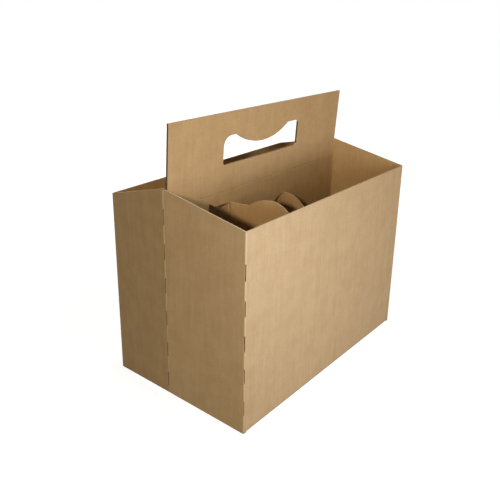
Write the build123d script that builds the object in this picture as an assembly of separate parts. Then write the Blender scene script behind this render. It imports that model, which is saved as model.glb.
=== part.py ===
from build123d import *
from math import atan2, degrees, hypot, radians, tan
import os

# The carrier is one sheet of thin fluted kraft board: cut, scored, folded round and glued.
# Millimetres. X runs along the long walls, the front wall faces -Y and Z is up.
# The origin is on the ground, in the middle of the carrier's outline.

# The board and its folds
board = 0.8               # thickness of one layer
fold_radius = 0.5         # inside radius where the board turns
glue_press = 0.05         # depth that two glued faces press into each other
overrun = 5.0             # how far a cutting shape reaches past what it cuts

# The plan, measured on the outer faces
side_length = 218.0       # front and back walls
half_end = 65.0           # each half of an end wall, from its corner to its middle crease
centre_shift = 8.7        # how far the middle creases stand to the left of the corners

# The heights of the walls
side_height = 150.0       # upper edge of the front and back walls
back_rise = 3.0           # how far the back wall's upper edge rises towards the right end
peak_height = 167.4       # upper edge of an end wall at its middle crease
foot_rise = 8.9           # lower edge of an end wall at its middle crease

# The centre wall of two glued layers, whose upper part is the handle
grip_height = 17.5        # board above the hand hole
handle_lean = 2.7         # how far the handle's upper edge leans to the front
handle_bend_radius = 25.0
centre_edge_gap = 3.1     # free left edge to the end wall's inner face
score_height = 151.6      # line pressed into the front face
score_width = 1.0
score_depth = 0.3

# The hand hole
hole_width = 94.0
hole_offset = -2.9        # middle of the hole, from the middle of the handle
hole_bottom = 171.4
hole_height = 21.6
hole_left_radius = 8.0    # the roomy upper corner
hole_radius = 2.0         # the other three corners
bulge_width = 65.0        # rounded stretch that hangs into the hole
bulge_depth = 9.8
bulge_blend = 3.0

# The dividers, struck out of the centre wall's layers and turned outwards
first_fold = 69.3         # from the left crease to the first fold
second_fold = 140.5       # from the left crease to the second fold
fold_root = 5.0           # stretch of layer that carries a fold
tab_length = 8.0
divider_foot = 25.0       # lower edge
shoulder_height = 108.0   # upper edge beside the outer wall
first_height = 141.8      # upper edge of a first divider beside its fold
crest_height = 148.3      # top of the first divider's round crest
crest_reach = 35.5        # from the fold to that top
crest_rise_radius = 29.5
crest_fall_radius = 18.0
second_height = 133.5     # top of a second divider, at its fold
second_radius = 22.4
back_step = 23.0          # where the upper edge of a back divider steps down
window_frame = 8.0        # layer that is left between the second window and the first fold
window_radius = 3.0       # lower corners of a window

# The bottom
base_end_gap = 2.0        # bottom panel to the end walls
base_side_gap = 0.5       # free edge of the bottom panel to the back wall
base_lap = 4.0            # height of the wall stretch that turns into the bottom
flap_width = 30.0         # glue flap of the back wall, on top of the bottom panel
flap_inset = 6.0          # the flap stops short of the bottom panel's ends

# The perforated folds
slit_length = 12.0
slit_width = 0.7
slit_pitch = 25.4
slit_start = 14.2         # foot of the lowest slit
slit_margin = 6.0         # uncut stretch above the highest slit

# Places that follow from the sizes
half_width = (half_end ** 2 - centre_shift ** 2) ** 0.5
tilt = degrees(atan2(centre_shift, half_width))
mid_radius = fold_radius + board / 2
left_crease = -(side_length + centre_shift) / 2
left_corner = left_crease + centre_shift
right_corner = left_corner + side_length
right_crease = right_corner - centre_shift
hole_top = hole_bottom + hole_height
handle_top = hole_top + grip_height
layer_y = board / 2 - glue_press
centre_thickness = 2 * (board - glue_press)
centre_left = left_crease + board + centre_edge_gap
blunt_setback = mid_radius * tan(radians(90 + tilt) / 2)
sharp_setback = mid_radius * tan(radians(90 - tilt) / 2)


def meet(first, second):
    """Where two lines in plan cross; each line is a point and a direction."""
    (ax, ay), (adx, ady) = first
    (bx, by), (bdx, bdy) = second
    along = ((bx - ax) * bdy - (by - ay) * bdx) / (adx * bdy - ady * bdx)
    return ax + along * adx, ay + along * ady


def mid_line(start, end):
    """Middle of the board whose outer face runs from start to end, with its board on the right."""
    run_x, run_y = end[0] - start[0], end[1] - start[1]
    inward = board / 2 / hypot(run_x, run_y)
    return (start[0] + inward * run_y, start[1] - inward * run_x), (run_x, run_y)


def strip(points):
    """Board seen on edge, along a path with rounded folds."""
    return trace(FilletPolyline(*points, radius=mid_radius), line_width=board)


def along_x(sketch, start, end):
    """Run a sketch of Y and Z from one X to another."""
    return extrude(Plane.YZ.offset(start) * sketch, amount=end - start)


def along_y(sketch, start, end):
    """Run a sketch of X and Z from one Y to another."""
    return extrude(Plane.XZ.offset(-end) * sketch, amount=end - start)


def block(left, right, low, high):
    """Rectangle between two places and two heights."""
    return Pos((left + right) / 2, (low + high) / 2) * Rectangle(right - left, high - low)


def disc(across, height, radius):
    """Round between other outlines, by its middle."""
    return Pos(across, height) * Circle(radius)


# The sheet's panels in plan, clockwise from the seam, by their corners on the outer faces
corners = [
    (right_crease, 0), (right_corner, -half_width), (left_corner, -half_width),
    (left_crease, 0), (left_corner, half_width), (right_corner, half_width), (right_crease, 0),
]
panels = [mid_line(start, end) for start, end in zip(corners, corners[1:])]
layers = [((0, -layer_y), (1, 0)), ((0, layer_y), (1, 0))]
lines = [layers[0]] + panels + [layers[1]]
folds = [meet(first, second) for first, second in zip(lines, lines[1:])]
seam_x = folds[0][0]
turn_x = seam_x - sharp_setback


def walls():
    """Front, back and gabled end walls, with both ends of the sheet turned into the centre."""
    start_x = turn_x - fold_root
    joint = tuple((near + far) / 2 for near, far in zip(folds[2], folds[3]))
    plan = strip([(start_x, -layer_y)] + folds[:3] + [joint])
    plan += strip([joint] + folds[3:] + [(start_x, layer_y)])
    inner, outer = half_width - board, half_width + overrun
    outlines = []
    for place in (left_crease - overrun, right_corner + overrun):
        back_height = side_height + back_rise * (place - left_corner) / side_length
        outlines.append(Plane.YZ.offset(place) * Polygon(
            (-outer, 0), (-inner, 0), (0, foot_rise), (inner, 0), (outer, 0),
            (outer, back_height), (inner, back_height), (0, peak_height),
            (-inner, side_height), (-outer, side_height), align=None,
        ))
    return extrude(plan, amount=peak_height) & loft(outlines, ruled=True)


def hand_hole():
    """A slot with a rounded bulge that hangs from its upper edge."""
    middle = (centre_left + seam_x) / 2 + hole_offset
    slot = block(middle - hole_width / 2, middle + hole_width / 2, hole_bottom, hole_top)
    roomy = slot.vertices().sort_by(Axis.Y)[-2:].sort_by(Axis.X)[0]
    tight = [v for v in slot.vertices() if v != roomy]
    slot = fillet(fillet(tight, hole_radius).vertices().sort_by_distance((roomy.X, roomy.Y))[0],
                  hole_left_radius)
    bulge_radius = ((bulge_width / 2) ** 2 + bulge_depth ** 2) / (2 * bulge_depth)
    slot -= disc(middle, hole_top - bulge_depth + bulge_radius, bulge_radius)
    ends = [slot.vertices().sort_by_distance((middle + half, hole_top))[0]
            for half in (-bulge_width / 2, bulge_width / 2)]
    return fillet(ends, bulge_blend)


def centre_wall():
    """The two glued layers, still without windows."""
    slope = handle_lean / (handle_top - peak_height)
    section = trace(FilletPolyline(
        (0, 0), (0, peak_height), (-handle_lean - slope * overrun, handle_top + overrun),
        radius=handle_bend_radius), line_width=centre_thickness)
    face = block(centre_left, turn_x, foot_rise, handle_top)
    face += block(turn_x, seam_x, peak_height, handle_top)
    wall = along_x(section, centre_left, seam_x) & along_y(
        face - hand_hole(), -half_width, half_width)
    groove = Pos(-centre_thickness / 2, score_height) * Polygon(
        (-score_depth, -score_width), (score_depth, 0), (-score_depth, score_width), align=None)
    return wall - along_x(groove, centre_left - overrun, turn_x)


def first_profile(reach):
    """A first divider from its fold outwards: a level stretch, a round crest and a shoulder."""
    crest_end = crest_reach + crest_fall_radius
    fall_centre = crest_height - crest_fall_radius
    profile = block(-overrun, crest_reach, divider_foot, first_height)
    profile += disc(crest_reach, crest_height - crest_rise_radius, crest_rise_radius) & block(
        0, crest_reach, first_height, crest_height)
    profile += disc(crest_reach, fall_centre, crest_fall_radius) & block(
        crest_reach, crest_end, fall_centre, crest_height)
    profile += block(crest_reach, crest_end, divider_foot, fall_centre)
    return profile + block(crest_reach, reach, divider_foot, shoulder_height)


def second_profile(reach):
    """A second divider from its fold outwards: a quarter round and a shoulder."""
    round_centre = second_height - second_radius
    profile = block(-overrun, 0, divider_foot, second_height)
    profile += disc(0, round_centre, second_radius) & block(
        0, second_radius, round_centre, second_height)
    profile += block(0, second_radius, divider_foot, round_centre)
    return profile + block(0, reach, divider_foot, shoulder_height)


def stepped(profile):
    """The same divider, cut down to the shoulder beyond the step."""
    return profile - block(back_step, half_width + overrun, shoulder_height, side_height)


def window(fold, side, length, profile):
    """The opening that a struck divider leaves in its layer, to the left of its fold."""
    shape = profile & block(-blunt_setback, length, divider_foot, side_height)
    shape = Pos(fold, 0) * mirror(shape, Plane.YZ)
    lowest = shape.vertices().sort_by(Axis.Y)[:2]
    shape = fillet(lowest.sort_by(Axis.X)[0], window_radius)
    return along_y(shape, *sorted((0, side * 2 * board)))


def divider(fold, side, profile):
    """One divider: from its layer across to the outer wall, with a tab glued to the wall."""
    wall_y = half_width - 3 * board / 2 + glue_press
    wall_x = fold + (wall_y - layer_y) * centre_shift / half_width
    plan = strip([
        (fold + fold_root, side * layer_y), (fold, side * layer_y),
        (wall_x, side * wall_y), (wall_x - tab_length, side * wall_y),
    ])
    outward = Vector(centre_shift, side * half_width, 0)
    face = Plane(origin=(fold, side * layer_y, 0), x_dir=outward,
                 z_dir=outward.cross(Vector(0, 0, 1)))
    return extrude(plan, amount=side_height) & extrude(
        face * profile, amount=half_width, both=True)


def bottom():
    """Bottom panel turned from the front wall, and the back wall's glue flap on top of it."""
    middle_y = half_width - board / 2
    free_y = half_width - board - base_side_gap
    panel = strip([(-middle_y, base_lap), (-middle_y, board / 2), (free_y, board / 2)])
    flap_z = 3 * board / 2 - glue_press
    flap = strip([(middle_y, base_lap), (middle_y, flap_z), (half_width - flap_width, flap_z)])
    inset = board + base_end_gap
    panel_ends = left_corner + inset, right_corner - inset
    flap_ends = panel_ends[0] + flap_inset, panel_ends[1] - flap_inset
    below = block(-half_width - overrun, -half_width + board, -overrun, base_lap)
    behind = block(half_width - board, half_width + overrun, -overrun, base_lap)
    cleared = along_x(below, *panel_ends) + along_x(behind, *flap_ends)
    return along_x(panel, *panel_ends) + along_x(flap, *flap_ends), cleared


def slits(index, top):
    """A row of slits through the board, at one of the upright folds."""
    before, fold, after = (Vector(*folds[place]) for place in (index - 1, index, index + 1))
    inward = (before - fold).normalized() + (after - fold).normalized()
    turn = Rot(0, 0, degrees(atan2(inward.Y, inward.X)))
    slit = turn * Box(2 * (board + mid_radius), slit_width, slit_length)
    count = 1 + int((top - slit_margin - slit_length - slit_start) // slit_pitch)
    heights = [slit_start + slit_length / 2 + step * slit_pitch for step in range(count)]
    return [Pos(fold.X, fold.Y, height) * slit for height in heights]


def carrier():
    """The whole folded and glued sheet."""
    sheet = walls()
    base, cleared = bottom()
    sheet = sheet - cleared + base
    centre = centre_wall()
    first_x, second_x = left_crease + first_fold, left_crease + second_fold
    rows = [
        (first_x, crest_reach + crest_fall_radius, first_profile(half_width)),
        (second_x, second_x - first_x - window_frame, second_profile(half_width)),
    ]
    dividers = []
    for fold, length, profile in rows:
        for side, shape in ((-1, profile), (1, stepped(profile))):
            centre -= window(fold, side, length, shape)
            dividers.append(divider(fold, side, shape))
    sheet += centre
    for piece in dividers:
        sheet += piece
    for slit in slits(2, side_height) + slits(3, peak_height):
        sheet -= slit
    return sheet


os.makedirs("parts", exist_ok=True)
export_step(carrier(), "parts/carrier.step")
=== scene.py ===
from math import pi, radians

import bpy
from mathutils import Matrix, Vector


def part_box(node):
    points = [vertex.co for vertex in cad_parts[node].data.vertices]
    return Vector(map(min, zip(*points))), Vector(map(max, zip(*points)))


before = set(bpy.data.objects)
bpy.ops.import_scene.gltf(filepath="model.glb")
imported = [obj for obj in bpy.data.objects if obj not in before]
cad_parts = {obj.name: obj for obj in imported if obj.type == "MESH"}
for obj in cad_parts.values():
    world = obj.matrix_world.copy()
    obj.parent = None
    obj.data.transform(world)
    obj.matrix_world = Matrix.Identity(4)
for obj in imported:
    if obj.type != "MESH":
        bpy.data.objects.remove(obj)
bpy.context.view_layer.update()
low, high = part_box("carrier")
MM = 0.001

# The photograph's camera, in the carrier's frame
CAMERA_PLACE = Vector((-377.1, -278.0, 278.7)) * MM
CAMERA_HEADING = radians(-47.07)
CAMERA_DIP = radians(18.87)
CAMERA_ROLL = radians(-0.77)
CAMERA_NEAREST = 0.01
CAMERA_FARTHEST = 50.0
SENSOR_WIDTH = 36.0           # in millimetres, like Blender's focal lengths
PHOTO_SIDE = 500.0            # in pixels, like the two values after it
FOCAL_LENGTH = 599.6
PHOTO_CENTRE = (198.7, 215.9)

# Places and sizes on the carrier, in metres
BOARD = 0.8 * MM
FRONT = low.y
BACK = high.y
SIDE_HEIGHT = 150.0 * MM
LEFT_CREASE = -113.35 * MM    # x of the perforated crease of the left end wall
LEFT_CORNER = -104.65 * MM    # x of the perforated corner at the front wall
END_REACH = 103.0 * MM        # both end walls are farther than this from the middle
PEAK_HEIGHT = 167.4 * MM      # from here up the handle leans to the front
HANDLE_SHIFT = 2.7 * MM       # how far the lean takes its top
LEAN = HANDLE_SHIFT / (high.z - PEAK_HEIGHT)
PRESSED_LINE = 151.6 * MM     # height of the line under the handle
FLUTE_PITCH = 2.4 * MM
SLIT_FOOT = 14.2 * MM         # height of the lowest slit of a perforated fold
SLIT_LENGTH = 12.0 * MM
SLIT_PITCH = 25.4 * MM

# Perforated folds: x and y in plan, and how pale a line they get
CORNER_FOLD = (LEFT_CORNER, FRONT, 0.55)
CREASE_FOLD = (LEFT_CREASE, 0.0, 0.8)

# Colours of the board, as linear light
KRAFT = (0.47, 0.325, 0.178, 1.0)
KRAFT_PALE = (0.56, 0.41, 0.25, 1.0)
KRAFT_DARK = (0.36, 0.235, 0.12, 1.0)
# painted shade: tint of the faces that look into the carrier
INNER_SHADE_TINT = (1.05, 0.97, 0.84, 1.0)
FLECK = (0.30, 0.20, 0.11, 1.0)
# pale line along the perforated folds
FOLD_PALE = (0.64, 0.50, 0.34, 1.0)
# painted contact shadow at the foot of the upright faces
FOOT_SHADOW = (0.33, 0.275, 0.19, 1.0)
TORN = (0.66, 0.44, 0.24, 1.0)
CUT_EDGE = (0.82, 0.68, 0.48, 1.0)
# painted shade: near black for open flute channels and the crease's slits
CHANNEL_SHADE = (0.085, 0.055, 0.032, 1.0)

# Grain of the board: scale across the flutes, along them and between panels, then detail and roughness
CLOUDS = ((80.0, 80.0, 80.0), 4.0, 0.6)
STREAKS = ((330.0, 22.0, 1.0), 3.0, 0.65)
FIBRES = ((420.0, 1500.0, 1.0), 3.0, 0.7)
FLECKS = ((520.0, 900.0, 1.0), 0.0, 0.5)
PANEL_SHIFT = (1.7, 2.3, 3.1)    # gives panels that face different ways a grain of their own
TONE_RANGE = (0.36, 0.64)        # from the dark to the pale board
FLECK_RANGE = (0.74, 0.82)
FIBRE_RANGE = (0.2, 0.8)

# How much of each kind of grain shows in the tone of the board
CLOUD_SHARE = 0.35
STREAK_SHARE = 0.3
FIBRE_SHARE = 0.35
FLUTE_SHARE = 0.006
PLAIN_SHARE = 0.65
FLECK_SHARE = 0.22

# Surface of the board
ROUGHNESS = (0.68, 0.86)
SHINE = 0.12
BUMP_STRENGTH = 0.25
BUMP_HEIGHT = 0.1 * BOARD
FIBRE_BUMP = 0.3
FLUTE_BUMP = 0.2

# How much of a face's normal lies along an axis: none of the mark, then all of it
TURNED = (0.6, 0.8)              # a face that looks along the axis, more or less
STRAIGHT = (0.9990, 0.9996)      # a face that looks exactly along it
SKEWED = (0.98, 0.92)            # a face that looks along neither side of the carrier
CUT_ACROSS = (0.2, 0.3)          # a cut edge that looks up or down, also where it slopes
INWARD = (0.3, 0.1)              # a face that doesn't look away from the middle

# How strong the marks are
PALE_AT_FOOT = 0.3                # as a share of the paleness higher up
# painted shade along the crease's slits
CREASE_SLIT_SHADE = 0.75
# painted contact shadow at the foot
FOOT_SHADOW_SHARE = 0.7
# painted shade of the flute pockets in the cut edges
PORE_SHADE_SHARE = 0.3
PORE_SHADE_RANGE = (0.2, 0.9)

# Floor: reach, grey for bouncing light, and glow near the carrier and away from it
FLOOR_REACH = 6.0
FLOOR_GREY = (0.35, 0.35, 0.35, 1.0)
FLOOR_GLOW = (0.88, 1.0)
GLOW_REACH = (0.15, 0.45)
WHITE = (1.0, 1.0, 1.0, 1.0)

# Light: the sky's level, and the lamps, which all point at the carrier's middle
SKY_LIGHT = 0.015
MIDDLE = Vector((0.0, 0.0, 0.10))
LAMPS = {
    # name: heading and height in degrees, distance and size in metres, watts, colour
    "window": (-62.0, 20.0, 0.90, 0.045, 3.25, (1.0, 0.865, 0.635)),
    "key": (-18.0, 19.0, 0.37, 0.12, 0.20, (1.0, 0.92, 0.62)),
    "near": (-31.0, 14.4, 0.24, 0.08, 0.148, (0.62, 0.75, 1.0)),
    "front": (5.0, -2.0, 0.45, 0.15, 0.86, (0.96, 0.95, 0.98)),
    "top": (0.0, 89.0, 1.0, 0.08, 2.0, (1.0, 0.96, 0.89)),
    "back": (155.0, -1.5, 1.2, 0.12, 8.5, (1.0, 0.95, 0.88)),
    "right": (95.0, -1.5, 1.2, 0.12, 7.0, (1.0, 0.95, 0.88)),
}


class Shader:
    """The nodes of a material or a world, made and joined with short calls."""

    def __init__(self, owner):
        owner.use_nodes = True
        self.tree = owner.node_tree
        self.tree.nodes.clear()

    def node(self, kind, inputs=None, **settings):
        """A new node; inputs are given by name or number, as values or as other nodes' outputs."""
        made = self.tree.nodes.new("ShaderNode" + kind)
        for name, value in settings.items():
            setattr(made, name, value)
        for key, value in (inputs or {}).items():
            self.feed(made.inputs[key], value)
        return made

    def feed(self, socket, value):
        if isinstance(value, bpy.types.NodeSocket):
            self.tree.links.new(value, socket)
        else:
            socket.default_value = value

    def math(self, operation, *values):
        return self.node("Math", dict(enumerate(values)), operation=operation).outputs[0]

    def size(self, value):
        """A value without its sign."""
        return self.math("ABSOLUTE", value)

    def product(self, first, *others):
        for other in others:
            first = self.math("MULTIPLY", first, other)
        return first

    def total(self, *parts):
        """The sum of values, each times its share."""
        result = 0.0
        for value, share in parts:
            result = self.math("MULTIPLY_ADD", value, share, result)
        return result

    def ramp(self, value, start, end, start_value=0.0, end_value=1.0):
        """Runs smoothly from start_value at start to end_value at end."""
        return self.node("MapRange", {
            "Value": value, "From Min": start, "From Max": end,
            "To Min": start_value, "To Max": end_value,
        }, interpolation_type="SMOOTHSTEP").outputs[0]

    def waves(self, value, pitch):
        return self.math("SINE", self.math("MULTIPLY", value, 2 * pi / pitch))

    def grain(self, place, scale, detail, roughness):
        """Noise with a scale of its own in each direction."""
        stretched = self.node("Mapping", {"Vector": place, "Scale": scale}).outputs[0]
        return self.node("TexNoise", {
            "Vector": stretched, "Scale": 1.0, "Detail": detail, "Roughness": roughness,
        }).outputs[0]

    def choose(self, share, first, second):
        """A number between two others."""
        return self.node("Mix", {0: share, 2: first, 3: second}, data_type="FLOAT").outputs[0]

    def blend(self, share, first, second, way="MIX"):
        """A colour between two others, or the first one changed by the second."""
        inputs = {0: share, 6: first, 7: second}
        return self.node("Mix", inputs, data_type="RGBA", blend_type=way).outputs[2]

    def seen(self):
        """One for light that goes straight, mirrored or through glass to the camera."""
        rays = self.node("LightPath").outputs
        mirrored = self.math("MAXIMUM", rays["Is Camera Ray"], rays["Is Glossy Ray"])
        return self.math("MAXIMUM", mirrored, rays["Is Transmission Ray"])


class BoardShader(Shader):
    """A shader that also knows each point's place on the carrier and which way it faces."""

    def __init__(self, owner):
        super().__init__(owner)
        place = self.node("TexCoord").outputs["Object"]
        self.facing = self.node("NewGeometry").outputs["Normal"]
        self.x, self.y, self.z = self.node("SeparateXYZ", {0: place}).outputs
        self.nx, self.ny, self.nz = self.node("SeparateXYZ", {0: self.facing}).outputs
        self.level = self.ramp(self.size(self.nz), *TURNED)


def outer_face(s, place, reach, reach_end, facing):
    """One on a face that is beyond a reach from the middle and looks away from it."""
    beyond = s.ramp(s.size(place), reach, reach_end)
    return s.product(beyond, s.product(s.math("SIGN", place), facing))


def painted_inner_shade(s, colour):
    """Painted shade: faces that look inward are tinted browner and darker; an outer face looks away
    from the middle.
    """
    far_x = outer_face(s, s.x, END_REACH, END_REACH + BOARD, s.nx)
    far_y = outer_face(s, s.y, BACK - BOARD, BACK - BOARD / 2, s.ny)
    inner = s.ramp(s.math("MAXIMUM", far_x, far_y), *INWARD)
    return s.blend(inner, colour, s.blend(1.0, colour, INNER_SHADE_TINT, "MULTIPLY"))


def gap_to_fold(s, fold_x, fold_y):
    """How far a point is from an upright fold, in plan."""
    off_x = s.math("POWER", s.math("SUBTRACT", s.x, fold_x), 2.0)
    off_y = s.math("POWER", s.math("SUBTRACT", s.y, fold_y), 2.0)
    return s.math("SQRT", s.math("ADD", off_x, off_y))


def pale_folds(s, colour):
    """Both perforated folds get a pale line, paler higher up."""
    for fold_x, fold_y, paleness in (CORNER_FOLD, CREASE_FOLD):
        near = s.ramp(gap_to_fold(s, fold_x, fold_y), 1.2 * BOARD, 0.6 * BOARD)
        paler_up = s.ramp(s.z, 0.1 * SIDE_HEIGHT, 0.8 * SIDE_HEIGHT, PALE_AT_FOOT * paleness, paleness)
        colour = s.blend(s.product(near, paler_up), colour, FOLD_PALE)
    return colour


def perforated_slits(s, colour):
    """Painted shade darkens the crease along its fine slits, and the corner's open slits show torn
    board.
    """
    step = s.math("FRACT", s.math("DIVIDE", s.math("SUBTRACT", s.z, SLIT_FOOT), SLIT_PITCH))
    slit = s.ramp(step, SLIT_LENGTH / SLIT_PITCH, 0.95 * SLIT_LENGTH / SLIT_PITCH)
    fine = s.ramp(gap_to_fold(s, *CREASE_FOLD[:2]), 0.8 * BOARD, 0.4 * BOARD)
    colour = s.blend(s.product(fine, slit, CREASE_SLIT_SHADE), colour, CHANNEL_SHADE)
    skew = s.ramp(s.math("MAXIMUM", s.size(s.nx), s.size(s.ny)), *SKEWED)
    left = s.ramp(s.x, LEFT_CORNER + 4 * BOARD, LEFT_CORNER + 3 * BOARD)
    front = s.ramp(s.y, FRONT + 4 * BOARD, FRONT + 3 * BOARD)
    below_top = s.ramp(s.z, 0.9 * SIDE_HEIGHT, 0.88 * SIDE_HEIGHT)
    return s.blend(s.product(skew, left, front, slit, below_top), colour, TORN)


def painted_foot_shadow(s, colour):
    """The upright faces get a painted grey contact shadow close to the floor."""
    shadow_band = s.ramp(s.z, 3.5 * BOARD, 1.5 * BOARD, 0.0, FOOT_SHADOW_SHARE)
    return s.blend(s.product(shadow_band, s.math("SUBTRACT", 1.0, s.level)), colour, FOOT_SHADOW)


def pale_cuts(s, colour):
    """Cuts across the flutes face up or down, above the bottom and clear of the pressed line; they are
    pale, with painted shade for the flute pockets.
    """
    above = s.ramp(s.z, 4 * BOARD, 6 * BOARD)
    height_off = s.size(s.math("SUBTRACT", s.z, PRESSED_LINE))
    off_line = s.math("MAXIMUM", s.ramp(height_off, 1.5 * BOARD, 1.7 * BOARD),
                      s.ramp(s.size(s.y), 4 * BOARD, 5 * BOARD))
    cut = s.product(s.ramp(s.size(s.nz), *CUT_ACROSS), above, off_line)
    pore_shade = s.ramp(s.waves(s.math("ADD", s.x, s.y), FLUTE_PITCH), *PORE_SHADE_RANGE, 0.0, PORE_SHADE_SHARE)
    return s.blend(cut, colour, s.blend(pore_shade, CUT_EDGE, KRAFT_DARK))


def open_channels(s, colour):
    """Cuts along the flutes face straight along the carrier and open a channel in each layer, painted
    near black as the shade between its liners.
    """
    cut = s.ramp(s.size(s.nx), *STRAIGHT)
    sway = s.product(s.math("MAXIMUM", s.math("SUBTRACT", s.z, PEAK_HEIGHT), 0.0), LEAN)
    depth = s.math("PINGPONG", s.math("ADD", s.y, sway), BOARD / 2)
    off_middle = s.size(s.math("SUBTRACT", depth, BOARD / 4))
    liner = s.ramp(off_middle, 0.16 * BOARD, 0.22 * BOARD)
    return s.blend(cut, colour, s.blend(liner, CHANNEL_SHADE, KRAFT_DARK))


def kraft_board():
    """Brown kraft board with upright flutes, pale cut edges and pale folds, and painted shade inside,
    in its slits, channels and flute pockets and at its foot.
    """
    material = bpy.data.materials.new("kraft_board")
    s = BoardShader(material)

    # The grain lies flat on each panel: fibres across the flutes, streaks along them
    side_on = s.ramp(s.size(s.nx), *TURNED)
    across = s.choose(side_on, s.x, s.y)
    along = s.choose(s.level, s.z, s.y)
    panel = s.node("VectorMath", {0: s.facing, 1: PANEL_SHIFT}, operation="DOT_PRODUCT")
    flat = s.node("CombineXYZ", {0: across, 1: along, 2: panel.outputs["Value"]}).outputs[0]
    clouds = s.grain(flat, *CLOUDS)
    streaks = s.grain(flat, *STREAKS)
    fibres = s.grain(flat, *FIBRES)
    flecks = s.ramp(s.grain(flat, *FLECKS), *FLECK_RANGE)
    flutes = s.waves(across, FLUTE_PITCH)

    tone = s.total((clouds, CLOUD_SHARE), (streaks, STREAK_SHARE),
                   (fibres, FIBRE_SHARE), (flutes, FLUTE_SHARE))
    colour = s.blend(s.ramp(tone, *TONE_RANGE), KRAFT_DARK, KRAFT_PALE)
    colour = s.blend(PLAIN_SHARE, colour, KRAFT)
    colour = s.blend(s.product(flecks, FLECK_SHARE), colour, FLECK)
    for mark in (painted_inner_shade, pale_folds, perforated_slits, painted_foot_shadow, pale_cuts, open_channels):
        colour = mark(s, colour)

    height = s.total((fibres, FIBRE_BUMP), (flutes, FLUTE_BUMP))
    bump = s.node("Bump", {"Strength": BUMP_STRENGTH, "Distance": BUMP_HEIGHT, "Height": height})
    skin = s.node("BsdfPrincipled", {
        "Base Color": colour, "Roughness": s.ramp(fibres, *FIBRE_RANGE, *ROUGHNESS),
        "Specular IOR Level": SHINE, "Normal": bump.outputs[0],
    })
    s.node("OutputMaterial", {"Surface": skin.outputs[0]})
    return material


def floor_paint():
    """White to the camera, with a faint shadow, and grey to the light that bounces."""
    material = bpy.data.materials.new("floor_paint")
    s = Shader(material)
    place = s.node("TexCoord").outputs["Object"]
    far = s.node("VectorMath", {0: place}, operation="LENGTH").outputs["Value"]
    glow = s.node("Emission", {"Color": WHITE, "Strength": s.ramp(far, *GLOW_REACH, *FLOOR_GLOW)})
    matt = s.node("BsdfDiffuse", {"Color": FLOOR_GREY})
    both = s.node("AddShader", {0: glow.outputs[0], 1: matt.outputs[0]})
    mixed = s.node("MixShader", {0: s.seen(), 1: matt.outputs[0], 2: both.outputs[0]})
    s.node("OutputMaterial", {"Surface": mixed.outputs[0]})
    return material


def floor():
    """A wide floor that the carrier stands on."""
    mesh = bpy.data.meshes.new("floor")
    corners = [(side * FLOOR_REACH, end * FLOOR_REACH, 0.0)
               for side, end in ((-1, -1), (1, -1), (1, 1), (-1, 1))]
    mesh.from_pydata(corners, [], [(0, 1, 2, 3)])
    mesh.materials.append(floor_paint())
    made = bpy.data.objects.new("floor", mesh)
    bpy.context.scene.collection.objects.link(made)


def sky():
    """Faint light from all round, seen as white."""
    world = bpy.data.worlds.new("sky")
    bpy.context.scene.world = world
    s = Shader(world)
    level = s.choose(s.seen(), SKY_LIGHT, 1.0)
    glow = s.node("Background", {"Color": WHITE, "Strength": level})
    s.node("OutputWorld", {"Surface": glow.outputs[0]})


def lamp(name, heading, height, distance, size, watts, colour):
    """A square soft box that points at the carrier."""
    data = bpy.data.lights.new(name, "AREA")
    data.shape = "SQUARE"
    data.size = size
    data.energy = watts
    data.color = colour
    made = bpy.data.objects.new(name, data)
    turn = Matrix.Rotation(radians(heading), 3, "Z") @ Matrix.Rotation(radians(-height), 3, "X")
    out = turn @ Vector((0, -1, 0))
    made.location = MIDDLE + distance * out
    made.rotation_euler = (-out).to_track_quat("-Z", "Y").to_euler()
    made.visible_camera = False
    bpy.context.scene.collection.objects.link(made)


def camera():
    """The photograph's camera."""
    data = bpy.data.cameras.new("camera")
    data.sensor_width = SENSOR_WIDTH
    data.lens = SENSOR_WIDTH * FOCAL_LENGTH / PHOTO_SIDE
    data.shift_x = 0.5 - PHOTO_CENTRE[0] / PHOTO_SIDE
    data.shift_y = PHOTO_CENTRE[1] / PHOTO_SIDE - 0.5
    data.clip_start = CAMERA_NEAREST
    data.clip_end = CAMERA_FARTHEST
    made = bpy.data.objects.new("camera", data)
    turn = (Matrix.Rotation(CAMERA_HEADING, 4, "Z") @ Matrix.Rotation(pi / 2 - CAMERA_DIP, 4, "X")
            @ Matrix.Rotation(CAMERA_ROLL, 4, "Z"))
    made.matrix_world = Matrix.Translation(CAMERA_PLACE) @ turn
    bpy.context.scene.collection.objects.link(made)
    bpy.context.scene.camera = made


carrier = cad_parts["carrier"]
carrier.data.materials.clear()
carrier.data.materials.append(kraft_board())
floor()
sky()
for name, values in LAMPS.items():
    lamp(name, *values)
camera()
bpy.context.scene.view_settings.view_transform = "Standard"
